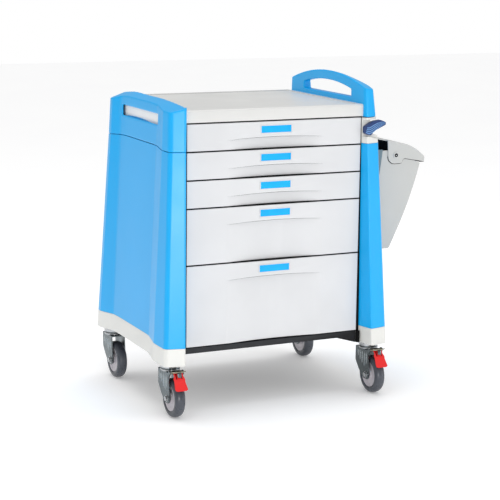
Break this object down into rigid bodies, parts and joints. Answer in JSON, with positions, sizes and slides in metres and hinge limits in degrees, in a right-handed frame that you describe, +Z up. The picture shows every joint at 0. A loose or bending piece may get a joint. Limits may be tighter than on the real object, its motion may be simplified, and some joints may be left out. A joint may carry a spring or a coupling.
{
  "type": "hospital drawer trolley",
  "caption": "Medical drawer trolley with moulded side columns, raised side handle, central lock lever, side waste bin and swivel casters with pedal brakes.",
  "frame": {"origin": "on the floor, under the middle of the bounding box", "axes": "+Z up, -Y towards the drawer fronts, +X towards the side with the waste bin"},
  "size_m": [0.8766, 0.5802, 0.9299],
  "materials": {
    "blue_shell": "satin moulded ABS",
    "white_shell": "satin moulded ABS",
    "drawer_shell": "satin moulded ABS",
    "tray_plastic": "satin",
    "label_insert": "gloss translucent blue",
    "black_steel": "black powder coat",
    "zinc_steel": "zinc plated",
    "bin_plastic": "satin",
    "lever_plastic": "satin navy",
    "fork_steel": "nickel plated",
    "tyre_rubber": "dark grey, non-marking",
    "core_plastic": "satin",
    "pedal_plastic": "satin red"
  },
  "bodies": {
    "trolley": {"base_frame": "black_steel", "carcass": "black_steel", "back_panel": "black_steel", "worktop": "white_shell", "side_panel_left": "blue_shell", "side_panel_right": "blue_shell", "handle_cap_left": "blue_shell", "handle_cap_right": "blue_shell", "lock_housing": "white_shell", "skirt_left": "white_shell", "skirt_right": "white_shell", "slide_channels": "zinc_steel", "bin_bracket": "zinc_steel", "bin_body": "bin_plastic", "lever_pin": "zinc_steel", "bin_screws": "zinc_steel", "caster_heads": "zinc_steel"},
    "drawer_1": {"drawer_1_front": "drawer_shell", "drawer_1_tray": "tray_plastic", "drawer_1_runners": "zinc_steel", "drawer_1_label": "label_insert"},
    "drawer_2": {"drawer_2_front": "drawer_shell", "drawer_2_tray": "tray_plastic", "drawer_2_runners": "zinc_steel", "drawer_2_label": "label_insert"},
    "drawer_3": {"drawer_3_front": "drawer_shell", "drawer_3_tray": "tray_plastic", "drawer_3_runners": "zinc_steel", "drawer_3_label": "label_insert"},
    "drawer_4": {"drawer_4_front": "drawer_shell", "drawer_4_tray": "tray_plastic", "drawer_4_runners": "zinc_steel", "drawer_4_label": "label_insert"},
    "drawer_5": {"drawer_5_front": "drawer_shell", "drawer_5_tray": "tray_plastic", "drawer_5_runners": "zinc_steel", "drawer_5_label": "label_insert"},
    "lock_lever": {"lock_lever": "lever_plastic"},
    "lock_bar": {"lock_bar": "zinc_steel"},
    "bin_lid": {"bin_lid": "bin_plastic"},
    "caster_front_left_swivel": {"caster_front_left_fork": "fork_steel", "caster_front_left_axle": "zinc_steel"},
    "caster_front_left_wheel": {"caster_front_left_core": "core_plastic", "caster_front_left_tyre": "tyre_rubber"},
    "caster_front_left_brake": {"caster_front_left_brake_lever": "fork_steel", "caster_front_left_pedal": "pedal_plastic"},
    "caster_front_right_swivel": {"caster_front_right_fork": "fork_steel", "caster_front_right_axle": "zinc_steel"},
    "caster_front_right_wheel": {"caster_front_right_core": "core_plastic", "caster_front_right_tyre": "tyre_rubber"},
    "caster_front_right_brake": {"caster_front_right_brake_lever": "fork_steel", "caster_front_right_pedal": "pedal_plastic"},
    "caster_rear_left_swivel": {"caster_rear_left_fork": "fork_steel", "caster_rear_left_axle": "zinc_steel"},
    "caster_rear_left_wheel": {"caster_rear_left_core": "core_plastic", "caster_rear_left_tyre": "tyre_rubber"},
    "caster_rear_right_swivel": {"caster_rear_right_fork": "fork_steel", "caster_rear_right_axle": "zinc_steel"},
    "caster_rear_right_wheel": {"caster_rear_right_core": "core_plastic", "caster_rear_right_tyre": "tyre_rubber"}
  },
  "joints": [
    {"name": "drawer_1_slide", "type": "slide", "parent": "trolley", "child": "drawer_1", "axis": [0, -1, 0], "range_m": [0, 0.34]},
    {"name": "drawer_2_slide", "type": "slide", "parent": "trolley", "child": "drawer_2", "axis": [0, -1, 0], "range_m": [0, 0.34]},
    {"name": "drawer_3_slide", "type": "slide", "parent": "trolley", "child": "drawer_3", "axis": [0, -1, 0], "range_m": [0, 0.34]},
    {"name": "drawer_4_slide", "type": "slide", "parent": "trolley", "child": "drawer_4", "axis": [0, -1, 0], "range_m": [0, 0.34]},
    {"name": "drawer_5_slide", "type": "slide", "parent": "trolley", "child": "drawer_5", "axis": [0, -1, 0], "range_m": [0, 0.34]},
    {"name": "lock_lever_turn", "type": "hinge", "parent": "trolley", "child": "lock_lever", "pos_m": [0.2019, -0.22162, 0.775], "axis": [0, 1, 0], "range_deg": [0, 35]},
    {"name": "lock_bar_slide", "type": "slide", "parent": "trolley", "child": "lock_bar", "axis": [0, 0, -1], "range_m": [0, 0.0039]},
    {"name": "bin_lid_hinge", "type": "hinge", "parent": "trolley", "child": "bin_lid", "pos_m": [0.3409, -0.02062, 0.688], "axis": [0, -1, 0], "range_deg": [0, 32]},
    {"name": "caster_front_left_turn", "type": "hinge", "parent": "trolley", "child": "caster_front_left_swivel", "pos_m": [-0.3981, -0.20562, 0.13], "axis": [0, 0, 1], "continuous": true},
    {"name": "caster_front_left_roll", "type": "hinge", "parent": "caster_front_left_swivel", "child": "caster_front_left_wheel", "pos_m": [-0.3981, -0.23162, 0.055], "axis": [1, 0, 0], "continuous": true},
    {"name": "caster_front_left_brake_press", "type": "hinge", "parent": "caster_front_left_swivel", "child": "caster_front_left_brake", "pos_m": [-0.3981, -0.24762, 0.131], "axis": [1, 0, 0], "range_deg": [0, 6]},
    {"name": "caster_front_right_turn", "type": "hinge", "parent": "trolley", "child": "caster_front_right_swivel", "pos_m": [0.2339, -0.20562, 0.13], "axis": [0, 0, 1], "continuous": true},
    {"name": "caster_front_right_roll", "type": "hinge", "parent": "caster_front_right_swivel", "child": "caster_front_right_wheel", "pos_m": [0.2339, -0.23162, 0.055], "axis": [1, 0, 0], "continuous": true},
    {"name": "caster_front_right_brake_press", "type": "hinge", "parent": "caster_front_right_swivel", "child": "caster_front_right_brake", "pos_m": [0.2339, -0.24762, 0.131], "axis": [1, 0, 0], "range_deg": [0, 6]},
    {"name": "caster_rear_left_turn", "type": "hinge", "parent": "trolley", "child": "caster_rear_left_swivel", "pos_m": [-0.3981, 0.24138, 0.13], "axis": [0, 0, 1], "continuous": true},
    {"name": "caster_rear_left_roll", "type": "hinge", "parent": "caster_rear_left_swivel", "child": "caster_rear_left_wheel", "pos_m": [-0.3981, 0.21538, 0.055], "axis": [1, 0, 0], "continuous": true},
    {"name": "caster_rear_right_turn", "type": "hinge", "parent": "trolley", "child": "caster_rear_right_swivel", "pos_m": [0.2339, 0.24138, 0.13], "axis": [0, 0, 1], "continuous": true},
    {"name": "caster_rear_right_roll", "type": "hinge", "parent": "caster_rear_right_swivel", "child": "caster_rear_right_wheel", "pos_m": [0.2339, 0.21538, 0.055], "axis": [1, 0, 0], "continuous": true}
  ],
  "couplings": [
    {"joint": "lock_lever_turn", "follows": "lock_bar_slide", "rad_per_m": 156}
  ]
}
